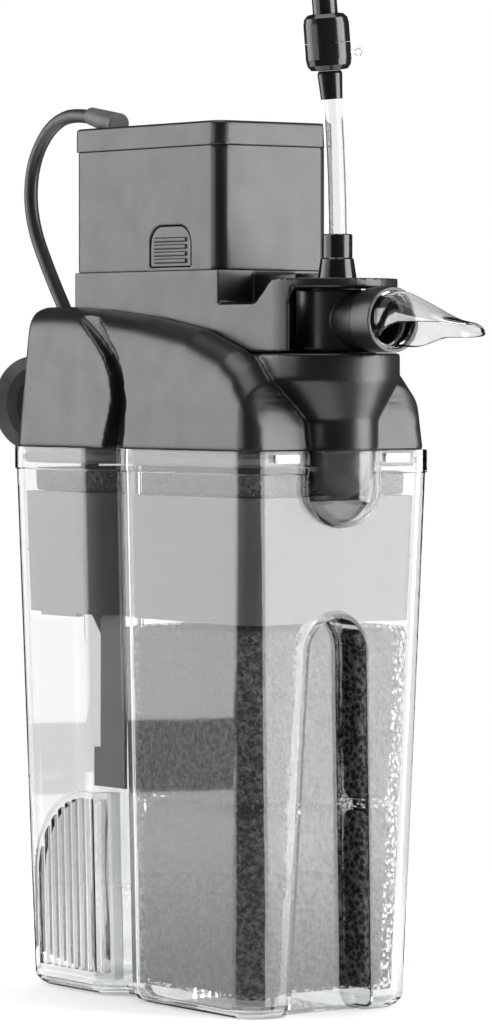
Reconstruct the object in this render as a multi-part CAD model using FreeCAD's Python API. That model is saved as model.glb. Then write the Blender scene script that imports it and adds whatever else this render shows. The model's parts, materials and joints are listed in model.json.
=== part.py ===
import FreeCAD, Part

# Submersible aquarium filter: a clear canister with slotted inlets and foam, a head that closes it,
# and a power-head pump on top. X is the width, -Y the outlet side, +Z up. The origin is on the
# canister's flat bottom. Millimetres.

import math
import os

V = FreeCAD.Vector

# Canister, measured at its rim; it narrows towards the bottom.
RIM_Z = 236.4
BEAD_Z = 226.5
HALF_W = 48.5
FRONT = -87.0
BACK = 90.4
DRAFT_X = 5.2
DRAFT_Y = 6.9
WALL = 2.0
BEAD = 0.6
BOTTOM_R = 6.0
GROOVE_DEPTH = 9.5
GROOVE_FRONT = 4.5
GROOVE_BACK = 21.0
BULGE_R = 17.0
BULGE_Z = 221.0
ARCH_DEPTH = 11.0
ARCH_TOP_Z = 167.0
ARCH_TOP_HALF = 15.0
ARCH_FOOT_HALF = 21.5
WINDOW_FRONT = 24.0
WINDOW_BACK = 75.5
WINDOW_LOW_Z = 7.0
WINDOW_TOP_Z = 88.0
WINDOW_KNEE_Z = 46.0
GRILLE_PROUD = 0.8
GRILLE_PITCH = 5.4
GRILLE_SLOT = 2.7
CATCH_X0 = 23.0
CATCH_X1 = 34.5
CATCH_Z0 = 231.5
CATCH_Z1 = 235.0

# Filter media.
FOAM_LOW_Z = 8.0
FOAM_SPLIT_Z = 85.0
FOAM_GAP = 3.0
FOAM_TOP_Z = 162.0
FOAM_BACK = -1.0
BASKET_Z = 164.5
BASKET_TOP_Z = 217.0
SEAM_Z = 191.3
PAD_TOP_Z = 227.5
PARTITION_Y = 12.0
PARTITION_LOW_Z = 6.5
PARTITION_TOP_Z = 160.0
FOAM_INSET = 3.2
BASKET_INSET = 3.4
BASKET_WALL = 1.6
SLOT_PITCH = 12.0
GUIDE_X = 30.2
GUIDE_LOW_Z = 89.0
RING_R = 5.6
RING_BORE_R = 2.6
RING_H = 14.0
RING_PITCH = 13.0

# Head.
DECK_Z = 277.0
DECK_HALF = 30.5
DECK_CENTRE_Y = -77.0
LOBE_TOP_Z = 297.5
NECK_R = 16.7
NECK_Y = -85.0
NECK_Z = 249.0
SPOUT_R = 13.6
SPOUT_Y = -87.0
SPOUT_Z = 230.0
FUNNEL_Z = 266.0
HEAD_WALL = 2.4
SKIRT_Z = 229.5
INTAKE_R = 22.0
CUP_X = 29.5
CUP_Z = 255.0
CUP_R = 21.0

# Pump.
PUMP_HALF = 29.5
PUMP_BACK = 68.0
PUMP_FRONT_Y = -40.0
BASE_TOP_Z = 312.2
LEDGE_Z = 297.5
HOOD_Z = 308.0
HOOD_PLATE = 4.0
HOUSING_TOP_Z = 364.7
CAP_TOP_Z = 375.0
ROTOR_Y = 14.0
SHAFT_R = 1.5
BUSH_R = 4.0
BUSH_H = 3.0
MAGNET_R = 9.6
IMPELLER_R = 17.0
VOLUTE_R = 20.0
WELL_R = 12.0
CORD_HOLE_X = -15.0
RUNNING = 0.06

LATCH_Y0 = -20.0
LATCH_Y1 = 9.3
LATCH_Z0 = 314.0
LATCH_Z1 = 331.0
SCREWS = [(-21, -32), (21, -32), (-21, 57), (21, 57)]

# Outlet.
BARREL_Y = -84.0
BARREL_R = 17.0
BARREL_TOP_Z = 303.05
PIPE_Z = 290.6
PIPE_R = 12.4
PIPE_END_Y = -113.0
MOUTH_Y = -122.4
COLLAR_R = 13.5
MOUTH_R = 11.92
TIP_Y = -178.0
ROLL_DEG = 15.0
BILL_WALL = 1.3
BILL_EDGE = -9.0

# Air line.
TUBE_FOOT_Z = 318.0
TUBE_R = 4.15
TUBE_BORE_R = 2.9
TUBE_TOP = V(-2.8, BARREL_Y, 382.0)
VALVE_AXIS = V(-0.095, 0, 1)
VALVE_R = 9.5
VALVE_CORE_R = 7.0

# Mains lead.
CORD_R = 3.1
COIL_CENTRE = V(105.8, 108, 0)
COIL_OUT_R = 45.5
COIL_IN_R = 26.3
COIL_H = 12.6
PLUG_X = 100.0
PLUG_Y = 140.0
PLUG_Z = COIL_H + 6.9

UP = V(0, 0, 1)
X_AXIS = V(1, 0, 0)
Y_AXIS = V(0, 1, 0)


# ---- drawing helpers ----

def plan(z):
    """Maps outline coordinates to a level plane at height z."""
    return lambda u, v: V(u, v, z)


def side(x):
    """Maps outline coordinates (y, z) to the upright plane at x."""
    return lambda u, v: V(x, u, v)


def front(y):
    """Maps outline coordinates (x, z) to the upright plane at y."""
    return lambda u, v: V(u, y, v)


def corner_arc(before, corner, after, radius):
    """The three points of the arc that rounds a corner: start, middle and end."""
    back = (before - corner).normalize()
    ahead = (after - corner).normalize()
    half = math.acos(max(-1.0, min(1.0, back.dot(ahead)))) / 2
    reach = radius / math.tan(half)
    centre_line = (back + ahead).normalize()
    middle = corner + centre_line * (radius / math.sin(half) - radius)
    return corner + back * reach, middle, corner + ahead * reach


def rounded_wire(corners, place):
    """A closed wire through (u, v, radius) corners, each rounded by its radius."""
    points = [place(u, v) for u, v, _ in corners]
    count = len(points)
    arcs = []
    for i in range(count):
        radius = corners[i][2]
        if radius:
            arcs.append(corner_arc(points[i - 1], points[i], points[(i + 1) % count], radius))
        else:
            arcs.append((points[i], None, points[i]))
    edges = []
    for i in range(count):
        start, middle, end = arcs[i]
        if middle:
            edges.append(Part.Arc(start, middle, end).toShape())
        following = arcs[(i + 1) % count][0]
        if (following - end).Length > 1e-6:
            edges.append(Part.LineSegment(end, following).toShape())
    return Part.Wire(edges)


def slab(corners, place, along):
    """A rounded outline pushed along a vector."""
    return Part.Face(rounded_wire(corners, place)).extrude(along)


def mirrored(half):
    """Closes a left half outline, listed from front to back, with its mirror image."""
    return half + [(-x, y, r) for x, y, r in reversed(half)]


def box(x0, x1, y0, y1, z0, z1):
    return Part.makeBox(x1 - x0, y1 - y0, z1 - z0, V(x0, y0, z0))


def rod(radius, base, length, axis=UP):
    return Part.makeCylinder(radius, length, base, axis)


def tube(outer, inner, base, length, axis=UP):
    return rod(outer, base, length, axis).cut(rod(inner, base - axis * 1, length + 2, axis))


def turned(profile, base, axis=UP):
    """A solid of revolution from (radius, height) points about an axis through base."""
    points = [V(r, 0, h) for r, h in profile]
    face = Part.Face(Part.makePolygon(points + [points[0]]))
    solid = face.revolve(V(0, 0, 0), UP, 360)
    solid.Placement = FreeCAD.Placement(base, FreeCAD.Rotation(UP, axis))
    return solid


def capsule_outline(half_width, centre_y, back_y):
    """Plan outline with a square back and a half-round front."""
    front_y = centre_y - half_width
    return [
        (-half_width, back_y, 2.0),
        (-half_width, front_y, half_width - 0.02),
        (half_width, front_y, half_width - 0.02),
        (half_width, back_y, 2.0),
    ]


def group(solids):
    return Part.makeCompound(solids)


def save(name, shape):
    shape.exportStep("parts/" + name + ".step")
    print(name, "valid" if shape.isValid() else "INVALID", len(shape.Solids), round(shape.Volume))


# ---- canister outline ----

def canister_corners(z, inset):
    """The canister's plan outline at height z, moved inwards by inset."""
    rise = min(z, BEAD_Z) / BEAD_Z
    half = HALF_W - DRAFT_X * (1 - rise) - inset
    front_y = FRONT + DRAFT_Y * (1 - rise) + inset
    back_y = BACK - DRAFT_Y * (1 - rise) - inset
    floor_x = half - GROOVE_DEPTH
    groove_front = GROOVE_FRONT - inset
    groove_back = GROOVE_BACK + inset
    corner = 11.0 - 3.0 * rise
    return mirrored([
        (-half, front_y, corner),
        (-half, groove_front, 2.4),
        (-floor_x, groove_front, 2.0),
        (-floor_x, groove_back, 1.5),
        (-half, groove_back + 7.0, 11.0),
        (-half, back_y, 9.0),
    ])


def canister_loft(levels):
    """A solid through (z, inset) levels of the canister's outline."""
    wires = [rounded_wire(canister_corners(z, inset), plan(z)) for z, inset in levels]
    return Part.makeLoft(wires, True, True)


def round_foot(z0, inset, radius):
    """Levels that round the bottom edge, from the flat up to the wall."""
    levels = []
    for step in range(5):
        angle = math.radians(90 * step / 4)
        levels.append((z0 + radius * (1 - math.cos(angle)), inset + radius * (1 - math.sin(angle))))
    return levels


def arch_prism(grow):
    """The front recess, an arch that is open at the bottom, grown by a wall thickness."""
    spring_z = ARCH_TOP_Z - ARCH_TOP_HALF
    half_top = ARCH_TOP_HALF + grow
    half_foot = ARCH_FOOT_HALF + grow
    edges = [
        Part.LineSegment(V(-half_foot, 0, -5), V(-half_top, 0, spring_z)).toShape(),
        Part.Arc(V(-half_top, 0, spring_z), V(0, 0, spring_z + half_top), V(half_top, 0, spring_z)).toShape(),
        Part.LineSegment(V(half_top, 0, spring_z), V(half_foot, 0, -5)).toShape(),
        Part.LineSegment(V(half_foot, 0, -5), V(-half_foot, 0, -5)).toShape(),
    ]
    prism = Part.Face(Part.Wire(edges)).extrude(V(0, 40, 0))
    depth_y = FRONT + DRAFT_Y + ARCH_DEPTH + grow
    prism.translate(V(0, depth_y - 40, 0))
    lean = math.degrees(math.atan2(DRAFT_Y, BEAD_Z))
    prism.rotate(V(0, depth_y, 0), X_AXIS, lean)
    return prism


def bulge(radius):
    """The half-round pocket at the front of the rim."""
    column = rod(radius, V(0, FRONT, BULGE_Z), RIM_Z - BULGE_Z)
    return column.fuse(Part.makeSphere(radius, V(0, FRONT, BULGE_Z), UP, -90, 0, 360))


def inlet_window(grow):
    """The quarter-ellipse window low on each side of the rear chamber, as an X prism."""
    y0 = WINDOW_FRONT - grow
    y1 = WINDOW_BACK + grow
    z0 = WINDOW_LOW_Z - grow
    z1 = WINDOW_TOP_Z + grow
    edges = [
        Part.LineSegment(V(-70, y0, z0), V(-70, y0, z1)).toShape(),
        Part.LineSegment(V(-70, y0, z1), V(-70, 38, z1)).toShape(),
        Part.Arc(V(-70, 38, z1), V(-70, 38 + (y1 - 38) * 0.68, z1 - 11), V(-70, y1, WINDOW_KNEE_Z)).toShape(),
        Part.LineSegment(V(-70, y1, WINDOW_KNEE_Z), V(-70, y1, z0)).toShape(),
        Part.LineSegment(V(-70, y1, z0), V(-70, y0, z0)).toShape(),
    ]
    return Part.Face(Part.Wire(edges)).extrude(V(140, 0, 0))


def canister():
    outer = canister_loft(round_foot(0, 0, BOTTOM_R) + [(BEAD_Z, 0), (BEAD_Z + BEAD, -BEAD), (RIM_Z, -BEAD)])
    outer = outer.fuse(bulge(BULGE_R))
    inner = canister_loft(round_foot(WALL, WALL, BOTTOM_R - WALL) + [(BEAD_Z, WALL), (RIM_Z + 1, WALL)])
    pocket = bulge(BULGE_R - WALL)
    pocket = pocket.fuse(rod(BULGE_R - WALL, V(0, FRONT, BULGE_Z), RIM_Z - BULGE_Z + 1))
    body = outer.cut(arch_prism(0)).cut(inner.cut(arch_prism(WALL))).cut(pocket)
    return body.cut(inlet_window(0))


def inlet_grille(sign):
    """One slotted panel; its ribs follow the wall and stand a little proud of it."""
    skin = canister_loft(round_foot(0, -GRILLE_PROUD, BOTTOM_R) + [(BEAD_Z, -GRILLE_PROUD)])
    skin = skin.cut(canister_loft([(-1, WALL), (BEAD_Z + 1, WALL)]))
    panel = skin.common(inlet_window(-0.1))
    opening = inlet_window(-3.0)
    for i in range(9):
        y = WINDOW_FRONT + 2.5 + GRILLE_PITCH * i
        panel = panel.cut(opening.common(box(-70, 70, y, y + GRILLE_SLOT, 0, 100)))
    return panel.common(box(min(0, 70 * sign), max(0, 70 * sign), 0, 100, -5, 100))


def partition_grille():
    """The slotted screen between the inlet chamber and the foam, in the neck between the grooves."""
    low = HALF_W - DRAFT_X - GROOVE_DEPTH - WALL - 0.8
    high = low + DRAFT_X * PARTITION_TOP_Z / BEAD_Z
    outline = [
        (-low, PARTITION_LOW_Z, 0), (-high, PARTITION_TOP_Z, 0),
        (high, PARTITION_TOP_Z, 0), (low, PARTITION_LOW_Z, 0),
    ]
    plate = slab(outline, front(PARTITION_Y - 1), V(0, 2, 0))
    for row in range(12):
        z = 14 + SLOT_PITCH * row
        for x in (-26, 2):
            plate = plate.cut(box(x, x + 24, PARTITION_Y - 2, PARTITION_Y + 2, z, z + 5))
    return plate


def rim_catches():
    """Two low catches on the front of the rim."""
    y = FRONT - BEAD
    left = box(-CATCH_X1, -CATCH_X0, y - 1.5, y, CATCH_Z0, CATCH_Z1)
    right = box(CATCH_X0, CATCH_X1, y - 1.5, y, CATCH_Z0, CATCH_Z1)
    return group([left, right])


# ---- media ----

def foam_block(z0, z1):
    """A foam block that fills the front chamber between two heights."""
    body = canister_loft([(z0, FOAM_INSET), (z1, FOAM_INSET)]).common(box(-60, 60, -120, FOAM_BACK, z0, z1))
    return body.cut(arch_prism(WALL + 1.2))


def spout_clearance(grow):
    """The round space that the head's spout takes at the front of the media."""
    radius = SPOUT_R + grow
    return rod(radius, V(0, SPOUT_Y, SPOUT_Z - SPOUT_R - grow), 60)


def media_basket():
    """An open tub with a slotted floor, hollowed at the front for the spout."""
    within = BASKET_INSET + BASKET_WALL
    seam = canister_loft([(SEAM_Z - 0.5, BASKET_INSET - 0.4), (SEAM_Z + 0.5, BASKET_INSET - 0.4)])
    outer = canister_loft([(BASKET_Z, BASKET_INSET), (BASKET_TOP_Z, BASKET_INSET)])
    outer = outer.fuse(seam).cut(spout_clearance(1.0))
    inner = canister_loft([(BASKET_Z + BASKET_WALL, within), (BASKET_TOP_Z + 1, within)])
    inner = inner.cut(spout_clearance(1.0 + BASKET_WALL))
    tub = outer.cut(inner).cut(arch_prism(WALL + 1.0))
    for x in (-43, 39):
        tub = tub.fuse(box(x, x + 4, 45, 72, BASKET_Z - 1.5, BASKET_Z + 0.5))
    for i in range(12):
        y = -66 + SLOT_PITCH * i
        tub = tub.cut(box(-26, 26, y, y + 4, BASKET_Z - 1, BASKET_Z + 3))
    return tub


def basket_guides():
    """Two upright blades under the basket that steer the inlet water; each has a wider foot."""
    blades = []
    for x in (-GUIDE_X - 0.8, GUIDE_X - 0.8):
        blade = box(x, x + 1.6, 25.5, 45.0, GUIDE_LOW_Z, BASKET_Z - 0.05)
        blades.append(blade.fuse(box(x, x + 1.6, 25.5, 49.0, GUIDE_LOW_Z, GUIDE_LOW_Z + 17)))
    return group(blades)


def basket_lid():
    lid = canister_loft([(BASKET_TOP_Z - 2.0, 5.3), (BASKET_TOP_Z - 0.2, 5.3)]).cut(spout_clearance(2.9))
    for i in range(12):
        y = -66 + SLOT_PITCH * i
        lid = lid.cut(box(-26, 26, y, y + 5, BASKET_TOP_Z - 3, BASKET_TOP_Z + 1))
    return lid


def bio_media():
    """Loose ceramic rings, standing in rows in the basket."""
    rings = []
    for i in range(5):
        for j in range(11):
            x = -26 + RING_PITCH * i
            y = -63 + RING_PITCH * j
            rings.append(tube(RING_R, RING_BORE_R, V(x, y, BASKET_Z + 5.0), RING_H))
    return group(rings)


def fine_pad():
    return canister_loft([(BASKET_TOP_Z + 0.3, 6.5), (PAD_TOP_Z, 6.5)]).cut(spout_clearance(1.5))


# ---- head ----

def head_section(y, inset):
    """Cross-section of the head at a station y: rounded shoulders over upright sides."""
    knots = [
        (-87, 240), (-84, 253), (-80, 264), (-72, 272.5), (-62, 278.5), (-36, 287), (0, 292.6), (40, 296.4),
    ]
    top = LOBE_TOP_Z
    for (y0, z0), (y1, z1) in zip(knots, knots[1:]):
        if y0 <= y <= y1:
            top = z0 + (z1 - z0) * (y - y0) / (y1 - y0)
    top -= inset
    half = HALF_W - 0.4 - inset
    shoulder = min(14.0, 0.85 * (top - RIM_Z + 6))
    lean = 5.0 * (top - RIM_Z) / (LOBE_TOP_Z - RIM_Z)
    return [
        (-half, RIM_Z - 6, 0),
        (-half, RIM_Z, 0),
        (lean - half, top, shoulder),
        (half - lean, top, shoulder),
        (half, RIM_Z, 0),
        (half, RIM_Z - 6, 0),
    ]


def head_plan(inset, lean):
    """The head's plan outline, without the side grooves, leaning inwards by lean."""
    half = HALF_W - 0.4 - inset - 0.5 * lean
    front_y = FRONT + 0.4 + inset + lean
    back_y = BACK - 0.4 - inset - 0.7 * lean
    return mirrored([(-half, front_y, 9.0), (-half, back_y, 9.0)])


def head_hull(inset, floor_z):
    """The head's outer form, moved inwards by inset and open down to floor_z."""
    stations = [-87, -84, -80, -72, -62, -49, -36, -18, 0, 20, 40, 65, BACK]
    wires = [rounded_wire(head_section(y, inset), front(y)) for y in stations]
    hull = Part.makeLoft(wires, True, True)
    plan_form = Part.makeLoft([
        rounded_wire(head_plan(inset, 0), plan(floor_z)),
        rounded_wire(head_plan(inset, 7.5), plan(LOBE_TOP_Z + 4)),
    ], True, True)
    return hull.common(plan_form)


def swoop(sign):
    """The groove that climbs from the canister's side groove and curls back over the head."""
    outline = [
        (GROOVE_FRONT, RIM_Z - 8, 0), (4.4, 257, 0), (9, 270, 0), (15.6, 279, 0), (25, 287, 0), (40, 296, 0),
        (50, 302, 0), (60, 302, 0), (56, 297, 0), (41, 289.5, 0), (32, 283.5, 0), (23, 276, 0), (16.5, 267, 0),
        (14, 257, 0), (16.5, 246, 0), (GROOVE_BACK, RIM_Z - 8, 0),
    ]
    start = sign * (HALF_W - GROOVE_DEPTH)
    return slab(outline, side(start), V(sign * 20, 0, 0))


def funnel(inset):
    """The round front of the deck, which narrows to the neck over the pocket in the rim."""
    deck_ring = Part.Wire(Part.makeCircle(DECK_HALF - inset, V(0, DECK_CENTRE_Y, FUNNEL_Z), UP))
    neck_ring = Part.Wire(Part.makeCircle(NECK_R - inset, V(0, NECK_Y, NECK_Z), UP))
    cone = Part.makeLoft([neck_ring, deck_ring], True, True)
    rim = rod(DECK_HALF - inset, V(0, DECK_CENTRE_Y, FUNNEL_Z), DECK_Z - FUNNEL_Z)
    neck = rod(NECK_R - inset, V(0, NECK_Y, RIM_Z), NECK_Z - RIM_Z)
    return cone.fuse(rim).fuse(neck)


def deck_pocket(grow, z0):
    """The trough between the shoulders that the pump sits in."""
    return box(-DECK_HALF - grow, DECK_HALF + grow, -140, PUMP_BACK + 1.0 + grow, z0, 330)


def spout(radius, top_z):
    """The nose that reaches down into the rim's pocket."""
    tip = V(0, SPOUT_Y, SPOUT_Z)
    return rod(radius, tip, top_z - SPOUT_Z).fuse(Part.makeSphere(radius, tip, UP, -90, 0, 360))


def head_cover():
    pocket = deck_pocket(0, DECK_Z)
    outer = head_hull(0, RIM_Z).cut(pocket).cut(swoop(-1)).cut(swoop(1)).fuse(funnel(0))
    inner = head_hull(HEAD_WALL, RIM_Z - 1).cut(deck_pocket(HEAD_WALL, DECK_Z - HEAD_WALL))
    inner = inner.cut(swoop_wall(-1)).cut(swoop_wall(1))
    skirt = canister_loft([(SKIRT_Z, WALL + 1.5), (RIM_Z + 0.5, WALL + 1.5)])
    skirt = skirt.cut(canister_loft([(SKIRT_Z - 1.5, WALL + 3.4), (RIM_Z + 2, WALL + 3.4)]))
    shell = outer.cut(inner).fuse(skirt).fuse(spout(SPOUT_R, RIM_Z + 2)).cut(spout(SPOUT_R - 1.8, DECK_Z + 10))
    shell = shell.cut(rod(INTAKE_R, V(0, ROTOR_Y, DECK_Z - 10), 20))
    for x in (-CUP_X, CUP_X):
        shell = shell.cut(rod(3.5, V(x, 80, CUP_Z), 20, Y_AXIS))
    return shell


def swoop_wall(sign):
    """The space behind the groove that the head's wall fills."""
    start = sign * (HALF_W - GROOVE_DEPTH - HEAD_WALL)
    outline = [
        (GROOVE_FRONT - 3, RIM_Z - 8, 0), (2, 300, 0), (64, 304, 0),
        (58, 293, 0), (24, 270, 0), (24, RIM_Z - 8, 0),
    ]
    return slab(outline, side(start), V(sign * 20, 0, 0))


def rim_seal():
    """A flat ring between the head's skirt and the canister's wall."""
    outer = canister_loft([(231, WALL + 0.35), (233.2, WALL + 0.35)])
    return outer.cut(canister_loft([(230, WALL + 1.48), (234, WALL + 1.48)])).cut(spout_clearance(0.3))


def suction_cup(x):
    """A rubber cup whose mouth faces the glass, with a stepped back."""
    profile = [
        (0, 0), (6, 0), (6, 2.4), (13, 3.0), (17, 4.6), (CUP_R, 8.2), (CUP_R, 8.8),
        (16.5, 6.4), (9, 5.2), (0, 5.0),
    ]
    return turned(profile, V(x, 90.6, CUP_Z), Y_AXIS)


def cup_studs():
    studs = []
    for x in (-CUP_X, CUP_X):
        pin = rod(3.4, V(x, 84.5, CUP_Z), 6.1, Y_AXIS)
        studs.append(pin.fuse(rod(5.0, V(x, 83.0, CUP_Z), 1.9, Y_AXIS)))
    return group(studs)


# ---- pump ----

def base_outline():
    return [
        (PUMP_BACK, DECK_Z + 0.4, 1.0), (PUMP_BACK, BASE_TOP_Z, 0), (PUMP_FRONT_Y, BASE_TOP_Z, 0),
        (PUMP_FRONT_Y, LEDGE_Z, 1.5), (-66, LEDGE_Z, 7.0), (-78, HOOD_Z, 7.0),
        (-110, HOOD_Z, 2.5), (-110, DECK_Z + 0.4, 0),
    ]


def outlet_bay():
    """The space under the hood that holds the outlet, open to the front."""
    bay = slab([
        (-27.3, DECK_Z - 2, 0), (-27.3, HOOD_Z - HOOD_PLATE, 6.0),
        (27.3, HOOD_Z - HOOD_PLATE, 6.0), (27.3, DECK_Z - 2, 0),
    ], front(-102), V(0, 40, 0))
    mouth = box(-40, 40, -130, -88, DECK_Z - 2, HOOD_Z - HOOD_PLATE)
    return bay.fuse(mouth)


def pump_base():
    side_form = slab(base_outline(), side(-40), V(80, 0, 0))
    plan_form = slab(capsule_outline(PUMP_HALF, DECK_CENTRE_Y, PUMP_BACK), plan(270), V(0, 0, 60))
    body = side_form.common(plan_form)
    body = body.fuse(box(-11, 11, -70, PUMP_FRONT_Y, LEDGE_Z - 1, 310.4))
    body = body.cut(outlet_bay())
    body = body.cut(rod(VOLUTE_R, V(0, ROTOR_Y, DECK_Z - 1), 31.0))
    body = body.cut(box(-6, 6, -66, ROTOR_Y, 284, 296))
    body = body.cut(rod(WELL_R + 0.2, V(0, ROTOR_Y, 300), 20))
    body = body.cut(rod(6 + RUNNING, V(0, BARREL_Y, 300), 20))
    return body


def motor_outline(grow):
    half = PUMP_HALF + grow
    return [
        (-half, PUMP_FRONT_Y - grow, 6.0), (half, PUMP_FRONT_Y - grow, 6.0),
        (half, PUMP_BACK - 1.5 + grow, 4.0), (-half, PUMP_BACK - 1.5 + grow, 4.0),
    ]


def latch_outline(grow):
    return [
        (LATCH_Y0 - grow, LATCH_Z0 - grow, 0.8), (LATCH_Y0 - grow, LATCH_Z1 + grow, 8.0),
        (LATCH_Y1 + grow, LATCH_Z1 + grow, 8.0), (LATCH_Y1 + grow, LATCH_Z0 - grow, 0.8),
    ]


def motor_housing():
    outer = slab(motor_outline(0), plan(BASE_TOP_Z), V(0, 0, HOUSING_TOP_Z - BASE_TOP_Z))
    hollow = [(x * 0.925, y * 0.95, 3.5) for x, y, _ in motor_outline(0)]
    shell = outer.cut(slab(hollow, plan(BASE_TOP_Z - 1), V(0, 0, 80)))
    return shell.cut(slab(latch_outline(0.35), side(-40), V(80, 0, 0)))


def motor_cap():
    cap = slab(motor_outline(0.6), plan(HOUSING_TOP_Z), V(0, 0, CAP_TOP_Z - HOUSING_TOP_Z))
    edges = [e for e in cap.Edges if min(v.Z for v in e.Vertexes) > CAP_TOP_Z - 0.01]
    cap = cap.makeFillet(1.6, edges)
    cap = cap.cut(rod(4.0, V(CORD_HOLE_X, 56, HOUSING_TOP_Z - 1), 30))
    for x, y in SCREWS:
        cap = cap.cut(rod(3.2, V(x, y, CAP_TOP_Z - 3.0), 10))
        cap = cap.cut(rod(1.6, V(x, y, HOUSING_TOP_Z - 1), 20))
    return cap


def cap_screws():
    screws = []
    for x, y in SCREWS:
        head = rod(3.0, V(x, y, CAP_TOP_Z - 2.9), 2.2)
        slot_a = box(x - 2, x + 2, y - 0.4, y + 0.4, CAP_TOP_Z - 1.6, CAP_TOP_Z)
        slot_b = box(x - 0.4, x + 0.4, y - 2, y + 2, CAP_TOP_Z - 1.6, CAP_TOP_Z)
        shank = rod(1.5, V(x, y, HOUSING_TOP_Z - 6), CAP_TOP_Z - 2.8 - HOUSING_TOP_Z + 6)
        screws.append(head.cut(slot_a).cut(slot_b).fuse(shank))
    return group(screws)


def stator_core():
    """The iron yoke: a block with a bore for the rotor's well and a window for the coil."""
    block = box(-20, 20, -4, 58, 318, 336)
    block = block.cut(rod(13.2, V(0, ROTOR_Y, 310), 40))
    return block.cut(box(-9, 9, 32, 50, 310, 340))


def stator_coil():
    outer = box(-24, -8.6, 33, 49, 316, 338)
    return group([outer.cut(box(-20.3, -8.5, 30, 52, 317.7, 336.3)), box(-8.4, 8.4, 33, 49, 315.5, 338.5)])


def rotor_well():
    """The sealed cup that keeps water off the windings."""
    cup = rod(WELL_R, V(0, ROTOR_Y, 308.2), 38.0)
    return cup.cut(rod(WELL_R - 1.4, V(0, ROTOR_Y, 307), 37.6))


def impeller_shaft():
    return rod(SHAFT_R, V(0, ROTOR_Y, 282.2), 60.6)


def rotor_magnet():
    return tube(MAGNET_R, SHAFT_R + RUNNING, V(0, ROTOR_Y, 311.0), 28)


def impeller():
    hub = rod(4.2, V(0, ROTOR_Y, 292), 19.0)
    disc = rod(IMPELLER_R, V(0, ROTOR_Y, 303.4), 1.6)
    wheel = hub.fuse(disc)
    for i in range(6):
        blade = box(3.0, IMPELLER_R, ROTOR_Y - 0.7, ROTOR_Y + 0.7, 293.0, 303.6)
        blade.rotate(V(0, ROTOR_Y, 0), UP, 60 * i)
        wheel = wheel.fuse(blade)
    return wheel.cut(rod(SHAFT_R + RUNNING, V(0, ROTOR_Y, 280), 60))


def shaft_bush(z):
    return tube(BUSH_R, SHAFT_R, V(0, ROTOR_Y, z), BUSH_H)


def volute_cover():
    """The intake cover under the impeller, with a spider that holds the lower bush."""
    plate = rod(VOLUTE_R - 0.4, V(0, ROTOR_Y, 278.6), 2.4)
    plate = plate.cut(tube(12.0, 7.0, V(0, ROTOR_Y, 270), 20))
    for i in range(3):
        arm = box(5, 14, ROTOR_Y - 1.2, ROTOR_Y + 1.2, 278.6, 281.0)
        arm.rotate(V(0, ROTOR_Y, 0), UP, 120 * i + 30)
        plate = plate.fuse(arm)
    collar = rod(6.0, V(0, ROTOR_Y, 279), 5.6)
    plate = plate.fuse(collar)
    return plate.cut(rod(BUSH_R, V(0, ROTOR_Y, 281.5), 10)).cut(rod(SHAFT_R, V(0, ROTOR_Y, 281.4), 10))


def volute_seal():
    return tube(VOLUTE_R - 0.1, 17.6, V(0, ROTOR_Y, 281.1), 1.6)


def latch(sign):
    """A press-in release with four ribs for the thumb; its stem reaches the spring."""
    face = slab(latch_outline(0), side(sign * (PUMP_HALF - 2.0)), V(sign * 1.6, 0, 0))
    for i in range(4):
        z = 315.6 + 3.0 * i
        face = face.fuse(box(min(sign * 28.9, sign * 29.9), max(sign * 28.9, sign * 29.9), -17, 6.5, z, z + 1.5))
    return face


def latch_spring(sign):
    """A leaf spring behind the release."""
    x = sign * 24.3
    return box(x - 0.3, x + 0.3, -12, 2, 318, 327).fuse(box(x - 1.2, x + 1.2, -12, -10.8, 318, 327))


# ---- outlet ----

def outlet_barrel():
    base = V(0, BARREL_Y, DECK_Z + 1.0)
    column = rod(BARREL_R, base, BARREL_TOP_Z - DECK_Z - 1.0)
    stub = rod(6.0, V(0, BARREL_Y, 302), HOOD_Z - 302.0)
    pipe = rod(PIPE_R, V(0, BARREL_Y, PIPE_Z), BARREL_Y - PIPE_END_Y, -Y_AXIS)
    body = column.fuse(stub).fuse(pipe)
    body = body.cut(rod(10.8, V(0, BARREL_Y, PIPE_Z), 40, -Y_AXIS))
    body = body.cut(rod(14.0, V(0, BARREL_Y, DECK_Z + 3), 300.6 - DECK_Z - 3))
    body = body.cut(box(-10, 10, BARREL_Y, BARREL_Y + 30, 283, 297))
    return body.cut(rod(3.4, V(0, BARREL_Y, 295), 20))


def barrel_seal():
    return tube(10.0, 6.5, V(0, BARREL_Y, BARREL_TOP_Z), 0.75)


def outlet_collar():
    ring = rod(COLLAR_R, V(0, -109.6, PIPE_Z), -109.6 - MOUTH_Y, -Y_AXIS)
    ring = ring.cut(rod(PIPE_R, V(0, -109, PIPE_Z), -109 - PIPE_END_Y, -Y_AXIS))
    return ring.cut(rod(MOUTH_R, V(0, -112, PIPE_Z), 20, -Y_AXIS))


def ease(t):
    """Rises from 0 to 1 with level ends."""
    t = max(0.0, min(1.0, t))
    return t * t * (3 - 2 * t)


def spoon_section(y, thin):
    """Section of the duck-bill at station y, arched over a level edge, made smaller by thin."""
    along = (y - MOUTH_Y) / (TIP_Y - MOUTH_Y)
    top = 12.9 - 11.6 * ease(0.08 + 0.92 * along) - 0.6 * along - thin
    half = MOUTH_R + 1.1 * ease(3 * along) - thin
    low = BILL_EDGE + 5.0 * ease(2.4 * along)
    points = []
    for i in range(9):
        angle = math.pi * (1 - i / 8)
        points.append(V(half * math.cos(angle), y, PIPE_Z + low + (top - low) * math.sin(angle) ** 0.8))
    arch = Part.BSplineCurve()
    arch.interpolate(points)
    edge = Part.LineSegment(points[-1], points[0]).toShape()
    return Part.Wire([edge, arch.toShape()])


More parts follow.
